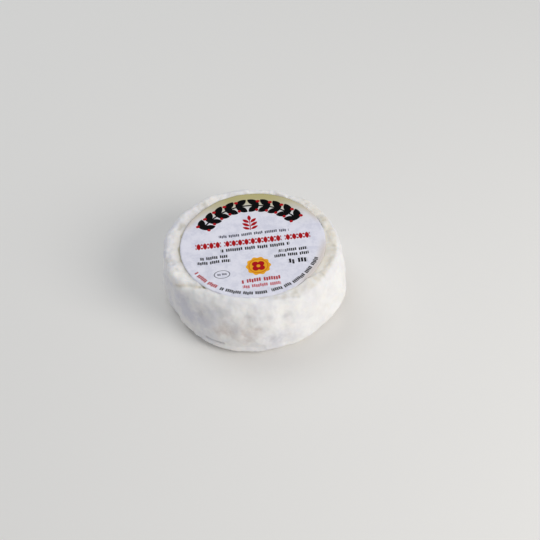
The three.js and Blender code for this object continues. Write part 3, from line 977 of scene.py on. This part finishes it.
def printed(x, y):
    """For each ink, the masks of what is printed in it besides the rosette."""
    leaves, berries = arch(x, y)
    masks = {
        "black": [leaves],
        "grey": [stamp(x - STAMP_AT[0], y - STAMP_AT[1])],
        "pink": [],
        "red": [berries, twig(x, y - TWIG_UP), border(x, y - BORDER_UP)],
    }
    for i, (across, up, length, tall, ink) in enumerate(SMALL_PRINT):
        masks[ink].append(strokes(x - across, y - up, length, tall, SMALL_SEED_STEP * i))
    out, turn = away(x, y), angle_of(x, y)
    for i, (middle, span, tall, ink) in enumerate(RIM_PRINT):
        along = (turn - math.radians(middle)) * RIM_PRINT_RADIUS
        length = math.radians(span) * RIM_PRINT_RADIUS
        seed = RIM_SEED + RIM_SEED_STEP * i
        masks[ink].append(strokes(along, out - RIM_PRINT_RADIUS, length, tall, seed))
    return masks


PAPER_WHITE = colour(238, 237, 247)
PAPER_CLOUD = colour(222, 222, 235)
PAPER_DAMP = colour(223, 214, 209)
CLOUD_NOISE = (0.0035, 5, 0.7)
CLOUD_FROM, CLOUD_TO = 0.4, 0.66  # the noise at which the cloud begins and is whole
DAMP_EVEN = 0.7  # how much of the damp doesn't follow the cloud
# Where damp crept in from the edge: its middle, how far to each side it is whole and shows at all, in
# degrees, and how far out it begins
DAMP_EDGES = (
    (-31, 10, 36, 0.0207),
    (40, 12, 28, 0.0220),
    (134, 12, 26, 0.0214),
)
CRESCENT_FROM, CRESCENT_TO = 0.0135, 0.0228  # the olive field at the upper edge, by way out
CRESCENT_TURN, CRESCENT_NEAR, CRESCENT_FAR = 1.5, 0.25, 1.25  # and by angle in radians
FIBRE_NOISE = (0.00025, 3, 0.6)
FIBRE_DEPTH = 0.000006
PAPER_FINISH = {"Roughness": 0.6, "Specular IOR Level": 0.06}


def by_angle(turn, middle, close, far):
    """1 within an angle of a direction, fading to 0 at a wider one."""
    return abs(turn - middle).between(far, close)


def paper_material():
    """Lavender-white paper, clouded by the damp below it, with the print worked out by place."""
    material, start = new_material("label_paper")
    place_on = start.node("ShaderNodeTexCoord", out="Object")
    shift = {"Vector": place_on, "Location": (-LABEL_CENTRE.x, -LABEL_CENTRE.y, 0)}
    centred = {"Vector": start.node("ShaderNodeMapping", None, shift)}
    x, y = (start.node("ShaderNodeSeparateXYZ", None, centred, axis) for axis in ("X", "Y"))
    out, turn = away(x, y), angle_of(x, y)
    cloud = place_on.noise(*CLOUD_NOISE)
    tint = cloud.between(CLOUD_FROM, CLOUD_TO).mix(PAPER_WHITE, PAPER_CLOUD)
    for *angles, inner in DAMP_EDGES:
        damp = out.between(inner, LABEL_RADIUS) * by_angle(turn, *(math.radians(angle) for angle in angles))
        tint = (damp * (cloud + DAMP_EVEN)).mix(tint, PAPER_DAMP)
    crescent = by_angle(turn, CRESCENT_TURN, CRESCENT_NEAR, CRESCENT_FAR)
    tint = (out.between(CRESCENT_FROM, CRESCENT_TO) * crescent).mix(tint, INK_OLIVE)
    gold, ring, flower = rosette(x - ROSETTE_AT[0], y - ROSETTE_AT[1])
    tint = ring.mix(gold.mix(tint, INK_GOLD), INK_ORANGE)
    masks = printed(x, y)
    masks["red"].append(flower)
    for ink, made in masks.items():
        tint = largest(*made).mix(tint, INKS[ink])
    fibre = place_on.noise(*FIBRE_NOISE).bump(FIBRE_DEPTH)
    start.shade({"Base Color": tint, "Normal": fibre, **PAPER_FINISH})
    return material


label_piece = label()
label_piece.data.materials.append(paper_material())
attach(label_piece, "root")
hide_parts("label")

# The studio
# A pale floor and an even pale room, with a broad soft lamp at the right and a weaker one behind on the
# left. The camera looks down on the cheese from in front, turned a little, as over a table.
FLOOR_SIZE = 3.0
FLOOR_FINISH = {"Base Color": colour(238, 236, 232), "Roughness": 0.8}
ROOM_COLOUR = (0.93, 0.95, 1.0, 1)
ROOM_STRENGTH = 0.4
LAMPS = (  # turn, rise, distance, size, power and colour
    (51, 33, 0.6, 0.35, 1.8, (1.0, 0.98, 0.95)),
    (-150, 56, 0.7, 0.5, 1.2, (0.95, 0.985, 1.0)),
)
CAMERA_TURN = -2.25
CAMERA_RISE = 46.1
CAMERA_ROLL = -5.0
CAMERA_DISTANCE = 0.427
CAMERA_LENS = 85.1
CAMERA_NEAREST = 0.01  # nothing nearer than this is drawn
AIM_SIDE, AIM_UP = 0.0055, -0.0018  # how far from the cheese's middle the camera points


def towards(turn, rise):
    """The direction from the cheese to a place round it: turn 0 is in front, 90 at its right."""
    turn, rise = math.radians(turn), math.radians(rise)
    return Vector((math.sin(turn) * math.cos(rise), -math.cos(turn) * math.cos(rise), math.sin(rise)))


def floor():
    bm = bmesh.new()
    bmesh.ops.create_grid(bm, x_segments=1, y_segments=1, size=FLOOR_SIZE / 2)
    piece = finished(bm, "floor")
    material, start = new_material("floor")
    start.shade(FLOOR_FINISH)
    piece.data.materials.append(material)


def room():
    world = bpy.data.worlds.new("room")
    world.use_nodes = True
    background = world.node_tree.nodes["Background"]
    background.inputs["Color"].default_value = ROOM_COLOUR
    background.inputs["Strength"].default_value = ROOM_STRENGTH
    bpy.context.scene.world = world


def lamp(turn, rise, distance, size, power, tint):
    light = bpy.data.lights.new("lamp", "AREA")
    light.shape = "DISK"
    light.size = size
    light.energy = power
    light.color = tint
    piece = bpy.data.objects.new("lamp", light)
    piece.location = towards(turn, rise) * distance
    piece.rotation_euler = piece.location.to_track_quat("Z", "Y").to_euler()
    bpy.context.collection.objects.link(piece)


def camera():
    """Stands in front of the middle of the cheese, rolled, and points a little beside it."""
    back = towards(CAMERA_TURN, CAMERA_RISE)
    across = Matrix.Rotation(math.radians(CAMERA_ROLL), 3, back) @ towards(CAMERA_TURN + 90, 0)
    up = back.cross(across)
    middle = Vector((0, 0, BODY_HEIGHT / 2))
    eye = middle + back * CAMERA_DISTANCE
    facing = (eye - middle - across * AIM_SIDE - up * AIM_UP).normalized()
    across = up.cross(facing).normalized()
    turn = Matrix((across, facing.cross(across), facing)).transposed().to_4x4()
    piece = bpy.data.objects.new("camera", bpy.data.cameras.new("camera"))
    piece.data.lens = CAMERA_LENS
    piece.data.clip_start = CAMERA_NEAREST
    piece.matrix_world = Matrix.Translation(eye) @ turn
    bpy.context.collection.objects.link(piece)
    bpy.context.scene.camera = piece


floor()
room()
for lamp_sizes in LAMPS:
    lamp(*lamp_sizes)
camera()
bpy.context.scene.view_settings.view_transform = "Standard"
